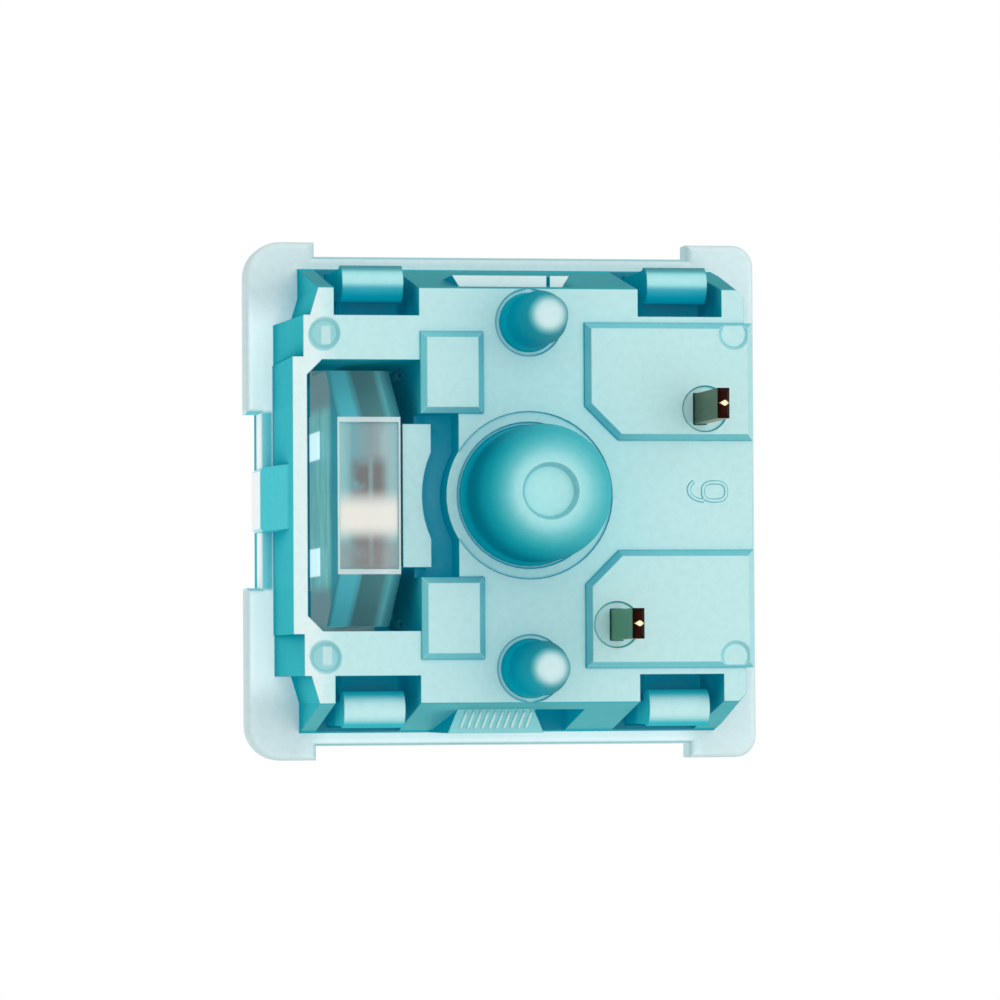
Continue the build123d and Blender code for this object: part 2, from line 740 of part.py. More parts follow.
# ================================================================== fixed terminal
foot_z = floor_z + seat_gap + sheet / 2
with BuildPart() as fixed_terminal:
    # Pin, flat foot on the floor and riser, folded from one strip.
    with BuildSketch(Plane.YZ.offset(fixed_pin_x - pin_width / 2)):
        with BuildLine():
            FilletPolyline(
                (fixed_pin_y, -pin_length),
                (fixed_pin_y, foot_z),
                (tongue_y, foot_z),
                (tongue_y, floor_z + arm_height),
                radius=bend_r,
            )
        trace(line_width=sheet)
    extrude(amount=pin_width)

    # Arm along the rib, and the tongue that carries the contact.
    with BuildSketch(Plane.XZ.offset(-tongue_y - sheet / 2)):
        arm_low_z = floor_z + arm_height / 2
        rectangle_between(fixed_pin_x - pin_width / 2, tongue_half_x, arm_low_z, floor_z + arm_height)
        rectangle_between(-tongue_half_x, tongue_half_x, arm_low_z, tongue_top_z)
    extrude(amount=sheet)

    # Tapered tip of the pin.
    pin_tip = fixed_terminal.faces().sort_by(Axis.Z)[0].edges()
    chamfer(pin_tip, pin_tip_cut)

fixed_terminal.part.label = "fixed_terminal"
export_step(fixed_terminal.part, "parts/fixed_terminal.step")

# ================================================================== moving terminal
with BuildPart() as moving_terminal:
    with BuildSketch(Plane.XZ.offset(-plate_y - sheet / 2)):
        pin_left_x = moving_pin_x - pin_width / 2
        pin_right_x = moving_pin_x + pin_width / 2
        plate_low_z = floor_z + seat_gap
        rectangle_between(pin_left_x, pin_right_x, -pin_length, plate_low_z)
        rectangle_between(plate_left_x, pin_right_x, plate_low_z, plate_low_z + plate_height)
    extrude(amount=sheet)
    pin_tip = moving_terminal.faces().sort_by(Axis.Z)[0].edges()
    chamfer(pin_tip, pin_tip_cut)

moving_terminal.part.label = "moving_terminal"
export_step(moving_terminal.part, "parts/moving_terminal.step")

# ================================================================== contact leaf
leaf_foot_z = floor_z + seat_gap
with BuildPart() as contact_leaf:
    # Side shape of the leaf: foot on the terminal, then set in towards the stem.
    with BuildSketch(Plane.YZ.offset(-leaf_half_x)):
        with BuildLine():
            Polyline(
                (leaf_foot_y, leaf_foot_z),
                (leaf_foot_y, leaf_foot_z + leaf_foot_height),
                (leaf_y, leaf_foot_z + leaf_foot_height + leaf_bend),
                (leaf_y, leaf_top_z),
            )
        trace(line_width=leaf)
    extrude(amount=2 * leaf_half_x)

    # Front outline: foot, narrow flexing neck and wide head.
    with BuildSketch(Plane.XZ.offset(-leaf_foot_y - leaf)):
        rectangle_between(-leaf_foot_half_x, leaf_foot_half_x, leaf_foot_z, leaf_foot_z + leaf_foot_height)
        rectangle_between(-leaf_neck_half_x, leaf_neck_half_x, leaf_foot_z, leaf_top_z)
        rectangle_between(-leaf_half_x, leaf_half_x, leaf_wing_z, leaf_top_z)
    extrude(amount=leaf_set + 2 * leaf, mode=Mode.INTERSECT)

    # Two lugs folded forward from the head, down in front of the stem's legs.
    for side in sides:
        with BuildSketch(Plane.YZ.offset(side * leg_x - lug_width / 2)):
            with BuildLine():
                Polyline(
                    (leaf_y, leaf_top_z - leaf),
                    (lug_y, leaf_top_z - leaf),
                    (lug_y, leaf_top_z - leaf - lug_drop),
                )
            trace(line_width=leaf)
        extrude(amount=lug_width)

contact_leaf.part.label = "contact_leaf"
export_step(contact_leaf.part, "parts/contact_leaf.step")

# ================================================================== contact points
with BuildPart() as moving_contact_point:
    with BuildSketch(Plane.XZ.offset(-(leaf_y - leaf / 2))):
        with Locations((0, contact_z)):
            Rectangle(contact_length, contact_bar)
    extrude(amount=contact_thick)

moving_contact_point.part.label = "moving_contact_point"
export_step(moving_contact_point.part, "parts/moving_contact_point.step")

with BuildPart() as fixed_contact_point:
    with BuildSketch(Plane.XZ.offset(-(tongue_y + sheet / 2))):
        with Locations((0, contact_z)):
            Rectangle(contact_bar, contact_length)
    extrude(amount=-contact_thick)

fixed_contact_point.part.label = "fixed_contact_point"
export_step(fixed_contact_point.part, "parts/fixed_contact_point.step")
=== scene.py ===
"""Looks for a mechanical keyboard switch.

It gives the CAD pieces their materials, adds the fine moulded detail of the housing, draws the
spring with round wire, and sets up the floor, the light and the camera. All sizes are in metres.
"""
import math

import bmesh
import bpy
from mathutils import Matrix, Vector


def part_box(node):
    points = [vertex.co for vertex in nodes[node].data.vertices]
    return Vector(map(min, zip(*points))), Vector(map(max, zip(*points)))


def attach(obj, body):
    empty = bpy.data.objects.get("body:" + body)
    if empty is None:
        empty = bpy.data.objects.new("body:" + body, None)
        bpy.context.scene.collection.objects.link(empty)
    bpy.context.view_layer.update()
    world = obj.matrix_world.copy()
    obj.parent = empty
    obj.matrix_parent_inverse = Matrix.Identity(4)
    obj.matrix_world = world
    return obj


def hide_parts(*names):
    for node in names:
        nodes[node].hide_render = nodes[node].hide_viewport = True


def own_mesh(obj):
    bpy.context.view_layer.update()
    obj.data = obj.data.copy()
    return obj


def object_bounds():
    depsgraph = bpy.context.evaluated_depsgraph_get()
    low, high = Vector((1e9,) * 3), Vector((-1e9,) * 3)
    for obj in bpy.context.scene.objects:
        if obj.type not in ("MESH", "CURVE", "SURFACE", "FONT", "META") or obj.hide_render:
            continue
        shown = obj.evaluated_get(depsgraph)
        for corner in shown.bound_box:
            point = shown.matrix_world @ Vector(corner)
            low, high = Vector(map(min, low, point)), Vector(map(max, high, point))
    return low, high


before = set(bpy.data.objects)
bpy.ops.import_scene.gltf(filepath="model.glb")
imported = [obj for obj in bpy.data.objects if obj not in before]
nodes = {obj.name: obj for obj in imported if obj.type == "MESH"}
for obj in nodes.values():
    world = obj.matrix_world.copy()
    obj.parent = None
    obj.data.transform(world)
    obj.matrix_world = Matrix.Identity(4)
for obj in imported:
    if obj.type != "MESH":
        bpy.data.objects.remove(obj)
cad_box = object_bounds()

MM = 0.001
HOUSING = "housing"

spring_low, spring_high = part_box("spring")
guide_low, guide_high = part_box("light_guide")
pin_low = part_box("fixed_terminal")[0]

# Places on the bottom housing. The board is at Z = 0, the light slot is on the -Y side, and the
# pins are on the +Y side.
FLOOR_Z = 0.25 * MM  # underside of the moulded floor, which the pads lift off the board
FLANGE_Z = 5.0 * MM  # underside of the flange
FLANGE_RIM = 7.36 * MM  # the flange's rim lies beyond this, all round
LEAN_X = 6.0 * MM  # the leaning walls lie beyond this, on the -X and +X sides
FRONT_Y = -6.98 * MM  # front of the body, where the flange starts
GAP_X = 2.6 * MM  # half the length of the flange's gap on the light side
GAP_FACE_Y = -7.35 * MM  # the front faces of the flange and its tab in that gap lie beyond this
TAB_Z = 4.0 * MM  # underside of the tab in that gap
RIDGE_X, RIDGE_Z = 6.16 * MM, 0.7 * MM  # inner edge of the lower face of the catch on the +X side
CATCH_X, CATCH_Y, CATCH_Z = -6.33 * MM, -0.87 * MM, 1.35 * MM  # middle of that edge, on the -X side
CATCH_HALF = 1.42 * MM  # half the length of the catch on the -X side
PAD_BEVEL_Y = 6.5 * MM  # the pads' bevels on the pin side lie beyond this
SLOT_BACK_Y = -3.24 * MM  # back wall of the light slot
MARK_X, MARK_Y, MARK_R = 4.68 * MM, -6.08 * MM, 0.47 * MM  # ejector marks on the light side
POST_R, POST_PALE_R = 2.0 * MM, 0.6 * MM  # the posts are at their palest within the second
PEG_X, PEG_R, PEG_PALE_R = 5.08 * MM, 0.8 * MM, 0.25 * MM
PINS = ((-3.81 * MM, 2.54 * MM), (2.54 * MM, 5.08 * MM))


# ---------------------------------------------------------------- helpers for node trees
def srgb(red, green, blue):
    """A screen colour, 0 to 255 each, as linear red, green, blue and alpha."""
    def linear(value):
        value /= 255
        return value / 12.92 if value <= 0.04045 else ((value + 0.055) / 1.055) ** 2.4
    return (linear(red), linear(green), linear(blue), 1.0)


class Tree:
    """A node tree that is filled by short calls."""

    def __init__(self, tree):
        self.tree = tree
        self.tree.nodes.clear()

    def add(self, kind, values=None, **settings):
        """A new shader node, with values or links on its inputs and with its own settings."""
        node = self.tree.nodes.new("ShaderNode" + kind)
        for name, value in settings.items():
            setattr(node, name, value)
        for name, value in (values or {}).items():
            self.feed(node.inputs[name], value)
        return node

    def feed(self, socket, value):
        if isinstance(value, bpy.types.NodeSocket):
            self.tree.links.new(value, socket)
        else:
            socket.default_value = value

    def math(self, operation, a, b=0.0, clamp=False):
        node = self.add("Math", {0: a, 1: b}, operation=operation, use_clamp=clamp)
        return node.outputs[0]

    def times(self, product, *others):
        """Product of the values. Of masks it is 1 where all of them are."""
        for other in others:
            product = self.math("MULTIPLY", product, other)
        return product

    def off(self, value, middle=0.0):
        """How far the value is from the middle, either way."""
        return self.math("ABSOLUTE", self.math("SUBTRACT", value, middle))

    def apart(self, a, b):
        """Length of the flat vector with sides a and b."""
        sides = self.add("CombineXYZ", {0: a, 1: b})
        return self.add("VectorMath", {0: sides.outputs[0]}, operation="LENGTH").outputs["Value"]

    def span(self, value, none_at, full_at):
        """A mask: 0 up to none_at, 1 from full_at on, smooth between. Either may be the larger."""
        node = self.add("MapRange", {"Value": value, "From Min": none_at, "From Max": full_at},
                        interpolation_type="SMOOTHSTEP")
        return node.outputs["Result"]

    def ramp(self, value, stops):
        """The colour at value, between stops of place and colour."""
        node = self.add("ValToRGB", {"Fac": value})
        elements = node.color_ramp.elements
        while len(elements) < len(stops):
            elements.new(0.5)
        for element, (place, colour) in zip(elements, stops):
            element.position = place
            element.color = colour
        return node.outputs["Color"]

    def mix(self, share, a, b, kind="MIX"):
        """Colour a with a share of colour b."""
        node = self.add("Mix", data_type="RGBA", blend_type=kind)
        share_in, a_in, b_in, colour_out = 0, 6, 7, 2  # the node's sockets for colours
        self.feed(node.inputs[share_in], share)
        self.feed(node.inputs[a_in], a)
        self.feed(node.inputs[b_in], b)
        return node.outputs[colour_out]

    def noise(self, size, detail=2.0, stretch=(1, 1, 1)):
        """Noise whose patches are about size metres across."""
        place = self.add("Mapping", {"Vector": self.place(), "Scale": stretch})
        node = self.add("TexNoise", {"Vector": place.outputs[0], "Scale": 1 / size, "Detail": detail})
        return node.outputs["Fac"]

    def place(self):
        """Where the point lies, in the frame of the CAD model."""
        return self.add("TexCoord").outputs["Object"]

    def rounded(self, radius):
        """The surface's normal, with its edges rounded off."""
        return self.add("Bevel", {"Radius": radius}, samples=6).outputs[0]

    def bumped(self, normal, height, depth, strength):
        """The normal of a surface that height raises by up to depth."""
        values = {"Normal": normal, "Height": height, "Distance": depth, "Strength": strength}
        return self.add("Bump", values).outputs[0]

    def axes(self, vector):
        """The x, y and z of a vector."""
        node = self.add("SeparateXYZ", {0: vector})
        return [node.outputs[axis] for axis in "XYZ"]

    def surface(self, shader, output="OutputMaterial"):
        """Ends the tree with a shader."""
        self.tree.links.new(shader.outputs[0], self.add(output).inputs["Surface"])


def material(name):
    made = bpy.data.materials.new(name)
    made.use_nodes = True
    return made, Tree(made.node_tree)


# ---------------------------------------------------------------- colours
DARK = srgb(0, 0, 0)
WHITE = (1, 1, 1, 1)

# Moulded plastic, from deep in a hollow to the open, with painted shade in hollows and on walls, and a
# painted glow that stands in for light that comes through it.
HOUSING_OPEN = [
    (0.0, srgb(0, 124, 148)),
    (0.25, srgb(0, 150, 172)),
    (0.5, srgb(170, 226, 228)),
    (0.75, srgb(186, 232, 234)),
    (1.0, srgb(192, 233, 234)),
]
HOUSING_WALL = [
    (0.0, srgb(0, 116, 142)),
    (0.3, srgb(4, 148, 170)),
    (0.6, srgb(8, 164, 182)),
    (1.0, srgb(64, 196, 207)),
]
HOUSING_PAINTED_GLOW = [
    (0.0, srgb(0, 86, 102)),
    (0.3, srgb(0, 72, 87)),
    (0.5, srgb(0, 48, 58)),
    (0.68, DARK),
]
COVER_OPEN = [
    (0.0, srgb(0, 124, 148)),
    (0.25, srgb(0, 150, 172)),
    (0.5, srgb(104, 204, 210)),
    (0.75, srgb(150, 224, 228)),
    (1.0, srgb(176, 234, 236)),
]
STEM_OPEN = [
    (0.0, srgb(126, 130, 126)),
    (0.5, srgb(204, 206, 200)),
    (1.0, srgb(240, 241, 235)),
]
STEM_WALL = [
    (0.0, srgb(118, 122, 118)),
    (0.6, srgb(202, 204, 198)),
    (1.0, srgb(234, 235, 229)),
]

# Round posts, from the middle outwards, on the side away from the light and on the side near it.
POST_DARK = [
    (0.0, srgb(166, 228, 229)),
    (0.29, srgb(150, 219, 222)),
    (0.51, srgb(84, 188, 195)),
    (0.67, srgb(44, 176, 185)),
    (0.81, srgb(26, 166, 180)),
    (0.91, srgb(8, 156, 174)),
    (1.0, srgb(0, 134, 158)),
]
POST_LIGHT = [
    (0.0, srgb(166, 228, 229)),
    (0.29, srgb(150, 219, 222)),
    (0.51, srgb(104, 198, 205)),
    (0.67, srgb(86, 192, 198)),
    (0.81, srgb(80, 190, 200)),
    (1.0, srgb(84, 200, 209)),
]
PEG_DARK = [
    (0.0, srgb(208, 232, 232)),
    (0.2, srgb(190, 224, 226)),
    (0.45, srgb(110, 190, 198)),
    (0.65, srgb(36, 166, 182)),
    (1.0, srgb(0, 156, 182)),
]
PEG_LIGHT = [
    (0.0, srgb(208, 232, 232)),
    (0.2, srgb(186, 220, 222)),
    (0.45, srgb(120, 180, 186)),
    (0.65, srgb(84, 164, 172)),
    (1.0, srgb(72, 152, 162)),
]
# Painted light near the foot of the centre post and of the pegs.
POST_FOOT = srgb(0, 176, 198)

# Light guide: its body and its foot from front to back, and the mottled side near the slot's front and
# the streaked upper part. Its light, shade and highlights are painted into these colours.
GUIDE_BODY = [
    (0.0, srgb(54, 116, 128)),
    (0.08, srgb(72, 160, 170)),
    (0.3, srgb(76, 162, 172)),
    (0.4, srgb(66, 106, 110)),
    (0.72, srgb(72, 114, 116)),
    (0.84, srgb(80, 150, 156)),
    (0.97, srgb(36, 96, 106)),
]
GUIDE_FOOT = [
    (0.02, srgb(150, 204, 208)),
    (0.25, srgb(98, 162, 170)),
    (0.55, srgb(128, 150, 154)),
    (0.8, srgb(146, 176, 180)),
    (0.98, srgb(136, 190, 194)),
]
GUIDE_FRONT = [
    (0.3, srgb(96, 142, 140)),
    (0.55, srgb(116, 164, 158)),
    (0.8, srgb(142, 170, 158)),
]
GUIDE_TOP = [
    (0.3, srgb(176, 206, 212)),
    (0.7, srgb(232, 240, 241)),
]

SPECK = srgb(250, 250, 250)
TEAL_REFLECTION = srgb(72, 146, 104)  # painted reflection of the teal housing, on the pin of the fixed terminal
DARK_TEAL_REFLECTION = srgb(42, 84, 48)  # the same painted reflection, darker, on that of the moving one
# Painted shade on the pins' cut tips, and a painted glint in the middle of each.
SHADED_TIP = srgb(34, 14, 8)
GLINT = srgb(250, 214, 170)


# ---------------------------------------------------------------- moulded plastic
class Skin:
    """Colour of a moulded piece, and of the painted glow that stands in for light that comes through it,
    laid on in layers.
    """

    def __init__(self, t, colour, light, level, normal):
        self.t = t
        self.colour = colour
        self.light = light
        self.level = level
        self.x, self.y, self.z = t.axes(t.place())
        self.face_x, self.face_y, self.face_z = t.axes(normal)

    def paint(self, mask, share, colour):
        """Lays a colour on where the mask is 1, at the given share."""
        self.colour = self.t.mix(self.t.times(mask, share), self.colour, colour)

    def glow(self, mask, share, light):
        """Lays on a colour of the painted glow, in the same way."""
        self.light = self.t.mix(self.t.times(mask, share), self.light, light)


def moulded_plastic(name, open_stops, wall_stops, through=None, tint=None, rough=0.5, own_shade=True):
    """Satin moulded plastic with painted shade: pale where it lies open, deep in its hollows and on its
    walls.

    A painted glow in the colours of through stands in for a little light that comes through into its
    hollows. A tint lays more colours on its skin. With own_shade only the piece itself makes its hollows
    deep.
    """
    edge_round = 0.045 * MM
    hollow_reach = 2.4 * MM
    cloud_size, cloud_depth = 1.6 * MM, 0.12
    speck_size, speck_rough = 0.22 * MM, 0.12
    grain_size, grain_depth = 0.06 * MM, 0.003 * MM
    full_gloss = 0.3

    made, t = material(name)
    normal = t.rounded(edge_round)
    # Painted shade: how open a place is, from ambient occlusion, picks its colour.
    open_share = t.add("AmbientOcclusion", {"Distance": hollow_reach}, samples=12, only_local=own_shade)
    cloud = t.math("SUBTRACT", t.noise(cloud_size, detail=3.0), 0.5)
    shade = t.math("ADD", open_share.outputs["AO"], t.times(cloud, cloud_depth), clamp=True)

    # How level the face is: 1 where it looks straight up or down, 0 on a wall.
    level = t.span(t.off(t.axes(normal)[2]), 0.55, 0.97)
    # Walls take the deeper wall colours as painted shade, and hollows get a painted glow.
    colour = t.mix(level, t.ramp(shade, wall_stops), t.ramp(shade, open_stops))
    light = t.ramp(shade, through) if through else DARK
    if tint:
        skin = Skin(t, colour, light, level, normal)
        tint(skin)
        colour, light = skin.colour, skin.light

    speck = t.noise(speck_size, detail=4.0)
    colour = t.mix(t.span(speck, 0.35, 0.75), colour, SPECK, "MULTIPLY")
    roughness = t.math("ADD", t.times(speck, speck_rough), rough - speck_rough / 2)
    gloss = t.times(level, t.span(shade, 0.3, 0.7), full_gloss)
    shader = t.add("BsdfPrincipled", {
        "Base Color": colour,
        "Roughness": roughness,
        "Normal": t.bumped(normal, t.noise(grain_size), grain_depth, 0.3),
        "Specular IOR Level": gloss,
        "Emission Color": light,
        "Emission Strength": 1.0,
    })
    t.surface(shader)
    return made


def roof_and_wall_tint(skin, below):
    """Painted shade: roofs of the hollows are deeper, and the leaning walls are greyer than the others,
    the one facing +X the most.
    """
    t = skin.t
    in_hollow = t.span(skin.z, CATCH_Z + 0.01 * MM, CATCH_Z + 0.41 * MM)
    in_hollow = t.times(in_hollow, t.span(skin.z, FLANGE_Z - 0.1 * MM, FLANGE_Z - 0.15 * MM))
    skin.paint(in_hollow, below, srgb(0, 134, 158))

    wall = t.span(skin.z, FLOOR_Z + 0.05 * MM, FLOOR_Z + 0.25 * MM)
    wall = t.times(wall, t.span(skin.z, FLANGE_Z - 0.4 * MM, FLANGE_Z - 0.5 * MM))
    wall = t.times(wall, t.span(t.off(skin.x), LEAN_X - 0.1 * MM, LEAN_X))
    skin.paint(t.times(wall, t.span(skin.face_x, 0.5, 0.8)), 0.75, srgb(86, 160, 167))
    skin.paint(t.times(wall, t.span(skin.face_x, -0.5, -0.8)), 0.7, srgb(112, 196, 200))


def flange_tint(skin, below):
    """Painted light: the flange's rim and underside are painted pale, and a painted glow lies on its
    underside along the -X and -Y sides.
    """
    t = skin.t
    out_x, out_y = t.off(skin.x), t.off(skin.y)
    rim = t.span(t.math("MAXIMUM", out_x, out_y), FLANGE_RIM - 0.06 * MM, FLANGE_RIM)
    rim = t.times(rim, t.span(skin.z, FLANGE_Z - 0.5 * MM, FLANGE_Z - 0.3 * MM))
    under = t.times(skin.level, t.span(skin.z, FLANGE_Z - 0.1 * MM, FLANGE_Z - 0.05 * MM))
    skin.paint(t.math("MAXIMUM", rim, under), 0.9, srgb(226, 243, 244))

    towards_x = t.span(skin.x, -5.5 * MM, -7.2 * MM)
    towards_y = t.span(skin.y, -5.5 * MM, -7.2 * MM)
    off_corners = t.span(t.math("MINIMUM", out_x, out_y), 6.4 * MM, 5.2 * MM)
    lit_side = t.times(t.math("MAXIMUM", towards_y, towards_x), off_corners)
    skin.glow(t.times(under, below), lit_side, srgb(130, 138, 138))


def gap_tint(skin):
    """The flange's gap on the light side is painted a bright cyan, deeper than the flange, as shade and
    with no glow, and the pale thin edge at its front is a painted highlight with a painted glow.
    """
    t = skin.t
    gap = t.span(t.off(skin.x), GAP_X + 0.15 * MM, GAP_X)
    gap = t.times(gap, t.span(skin.y, FRONT_Y, FRONT_Y - 0.08 * MM))
    skin.paint(gap, 0.85, srgb(92, 222, 234))
    skin.glow(gap, 1.0, DARK)

    edge = t.span(skin.y, GAP_FACE_Y + 0.1 * MM, GAP_FACE_Y)
    edge = t.times(edge, t.span(skin.face_y, -0.5, -0.9), gap, t.span(skin.z, TAB_Z - 0.1 * MM, TAB_Z))
    skin.paint(edge, 1.0, srgb(240, 248, 249))
    skin.glow(edge, 1.0, srgb(108, 108, 108))


def catch_tint(skin, below):
    """The lower faces of both catches are painted pale and the ribs on the -X side paler still: painted
    light on faces that look down, and painted highlights on the ribs.
    """
    t = skin.t
    ridge = t.times(t.span(skin.x, RIDGE_X - 0.06 * MM, RIDGE_X), below)
    ridge = t.times(ridge, t.span(skin.z, RIDGE_Z + 0.05 * MM, RIDGE_Z + 0.02 * MM))
    ridge = t.times(ridge, t.span(skin.z, RIDGE_Z - 0.1 * MM, RIDGE_Z - 0.04 * MM))
    skin.paint(ridge, 0.8, srgb(232, 246, 246))

    catch = t.span(skin.x, CATCH_X + 0.06 * MM, CATCH_X)
    catch = t.times(catch, t.span(t.off(skin.y, CATCH_Y), CATCH_HALF + 0.04 * MM, CATCH_HALF))
    catch = t.times(catch, t.span(skin.z, CATCH_Z + 0.07 * MM, CATCH_Z + 0.05 * MM))
    catch = t.times(catch, t.span(skin.z, CATCH_Z - 0.15 * MM, CATCH_Z - 0.1 * MM))
    on_rib = t.span(skin.z, CATCH_Z - 0.005 * MM, CATCH_Z - 0.025 * MM)
    skin.paint(catch, 0.85, t.mix(on_rib, srgb(132, 212, 216), srgb(204, 242, 240)))


def floor_tint(skin):
    """Painted light on the pads' bevels on the pin side and on the thin wall before the light slot, and
    painted shade with a painted highlight in the marks by it.
    """
    t = skin.t
    bevel = t.span(skin.y, PAD_BEVEL_Y - 0.04 * MM, PAD_BEVEL_Y)
    bevel = t.times(bevel, t.span(skin.z, FLOOR_Z + 0.01 * MM, FLOOR_Z - 0.03 * MM))
    skin.paint(t.times(bevel, t.span(skin.face_y, 0.3, 0.6)), 0.85, srgb(182, 230, 233))

    thin_wall = t.span(skin.y, -5.6 * MM, -6.5 * MM)
    thin_wall = t.times(thin_wall, t.span(skin.z, FLOOR_Z + 0.25 * MM, FLOOR_Z + 0.05 * MM))
    skin.paint(t.times(thin_wall, skin.level), 0.85, srgb(228, 245, 245))

    # Ejector marks, each painted deeper as shade, with a small pale painted highlight near its middle.
    mark_x = t.math("SUBTRACT", t.off(skin.x), MARK_X)
    mark_y = t.math("SUBTRACT", skin.y, MARK_Y)
    mark = t.span(t.apart(mark_x, mark_y), MARK_R + 0.02 * MM, MARK_R - 0.04 * MM)
    mark = t.times(mark, t.span(skin.z, FLOOR_Z + 0.35 * MM, FLOOR_Z + 0.25 * MM))
    skin.paint(mark, 0.85, srgb(136, 204, 208))
    painted_shine = t.times(t.span(t.off(mark_y, 0.08 * MM), 0.17 * MM, 0.1 * MM),
                    t.span(t.off(mark_x), 0.32 * MM, 0.22 * MM))
    skin.paint(t.times(mark, painted_shine), 0.6, srgb(218, 238, 237))


def post_tint(skin, off_x, near_light, radius, pale_r, dark_stops, light_stops):
    """A round post with its shading painted: pale in its middle, deeper outwards, and deepest away from
    the light.

    off_x is the distance from the post's axis along X, and near_light how far a point lies from
    that axis towards the light.
    """
    t = skin.t
    from_axis = t.apart(off_x, skin.y)
    outward = t.math("SUBTRACT", from_axis, pale_r)
    outward = t.math("MULTIPLY", outward, 1 / (radius - pale_r), clamp=True)
    # Painted light near the post's foot.
    foot = t.times(t.span(skin.z, -0.9 * MM, -0.1 * MM), 0.8)
    shades = t.mix(foot, t.ramp(outward, dark_stops), POST_FOOT)
    turn = t.math("ADD", t.times(near_light, 0.5 / radius), 0.5)
    shades = t.mix(t.span(turn, 0.2, 0.85), shades, t.ramp(outward, light_stops))

    on_post = t.times(t.span(skin.z, FLOOR_Z - 0.05 * MM, FLOOR_Z - 0.15 * MM),
                      t.span(from_axis, radius + 0.2 * MM, radius + 0.1 * MM))
    share = t.math("ADD", t.times(t.span(outward, 0.1, 0.3), 0.25), 0.72)
    skin.paint(on_post, share, shades)
    skin.glow(on_post, t.span(skin.z, -0.4 * MM, -1.1 * MM), DARK)


def housing_tint(skin):
    """Painted light and shade: thin places are painted paler, and the posts and the roofs of hollows
    deeper.
    """
    t = skin.t
    below = t.times(skin.level, t.span(skin.face_z, 0.0, -0.3))  # level faces that look down
    roof_and_wall_tint(skin, below)
    flange_tint(skin, below)
    gap_tint(skin)
    catch_tint(skin, below)
    floor_tint(skin)
    near_light = t.math("ADD", t.times(skin.y, 0.94), t.times(skin.x, 0.34))
    post_tint(skin, skin.x, near_light, POST_R, POST_PALE_R, POST_DARK, POST_LIGHT)
    peg_x = t.math("SUBTRACT", t.off(skin.x), PEG_X)
    post_tint(skin, peg_x, skin.y, PEG_R, PEG_PALE_R, PEG_DARK, PEG_LIGHT)


def cover_tint(skin):
    """Painted light and shade on the latch feet: deep inside and grey outside on the +X side, and pale
    with a painted glow on the -X side.
    """
    t = skin.t
    from_x, full_x = 5.3 * MM, 5.5 * MM
    foot = t.times(t.span(skin.x, from_x, full_x), t.span(skin.z, 2.4 * MM, 1.3 * MM))
    skin.paint(t.times(foot, t.span(skin.face_x, 0.06, -0.35)), 0.9, srgb(0, 166, 188))
    skin.paint(t.times(foot, t.span(skin.face_x, 0.55, 0.85)), 0.8, srgb(92, 150, 156))

    foot = t.times(t.span(skin.x, -from_x, -full_x), t.span(skin.z, 3.6 * MM, 2.6 * MM))
    skin.paint(foot, 0.6, t.mix(skin.level, srgb(60, 186, 196), srgb(206, 240, 240)))
    skin.glow(foot, 0.5, t.mix(skin.level, srgb(0, 96, 104), DARK))


# ---------------------------------------------------------------- clear plastic and metal
def guide_foot(t, x, y, run, cloud):
    """Foot of the light guide, with its light painted on: dark patches either side of a painted warm
    glow, in a bright painted frame.
    """
    middle_y = (guide_low.y + guide_high.y) / 2
    beside = t.off(y, middle_y)
    foot = t.ramp(run, GUIDE_FOOT)

    # Both dark patches are split by a pale line along the guide.
    dark_patch_one = t.times(t.span(x, -0.35 * MM, 0.15 * MM), t.span(x, 1.35 * MM, 0.75 * MM))
    dark_patch_two = t.times(t.span(x, -2.2 * MM, -1.95 * MM), t.span(x, -0.85 * MM, -1.35 * MM))
    off_line = t.span(t.off(y, middle_y + 0.06 * MM), 0.0, 0.12 * MM)
    dark_patch = t.times(t.math("ADD", dark_patch_one, dark_patch_two), t.span(beside, 0.66 * MM, 0.3 * MM))
    dark_patch = t.times(dark_patch, off_line, t.span(cloud, 0.2, 0.55))
    foot = t.mix(t.times(dark_patch, 0.85), foot, srgb(98, 88, 86))

    glow = t.times(t.span(x, -1.45 * MM, -0.8 * MM), t.span(x, 0.3 * MM, -0.45 * MM))
    foot = t.mix(t.times(glow, 0.95), foot, srgb(246, 240, 230))
    grey_end = t.span(x, -1.1 * MM, -1.6 * MM)
    foot = t.mix(t.times(grey_end, 0.6), foot, srgb(134, 136, 133))

    frame_x, frame_y, soft = 2.12 * MM, 0.82 * MM, 0.06 * MM
    at_ends = t.span(t.off(x), frame_x, frame_x + soft)
    at_sides = t.span(beside, frame_y, frame_y + soft)
    return t.mix(t.times(t.math("MAXIMUM", at_ends, at_sides), 0.75), foot, srgb(214, 230, 231))


def guide_front(t, x, z):
    """Side of the guide near the slot's front wall, with painted light: greener, with two small bright
    painted highlights.
    """
    middle_x, highlight_x, highlight_z = -0.1 * MM, 1.75 * MM, 4.5 * MM
    front = t.ramp(t.noise(0.8 * MM, detail=3.0, stretch=(0.4, 1, 1)), GUIDE_FRONT)
    front = t.mix(t.span(t.off(x), 2.45 * MM, 2.9 * MM), front, srgb(108, 122, 118))
    low_part = t.span(z, 2.6 * MM, 1.6 * MM)
    front = t.mix(t.times(low_part, 0.85), front, srgb(34, 104, 114))
    front_highlight = t.span(t.off(t.off(x, middle_x), highlight_x), 0.46 * MM, 0.38 * MM)
    front_highlight = t.times(front_highlight, t.span(z, highlight_z - 0.2 * MM, highlight_z))
    return t.mix(front_highlight, front, srgb(226, 243, 243))


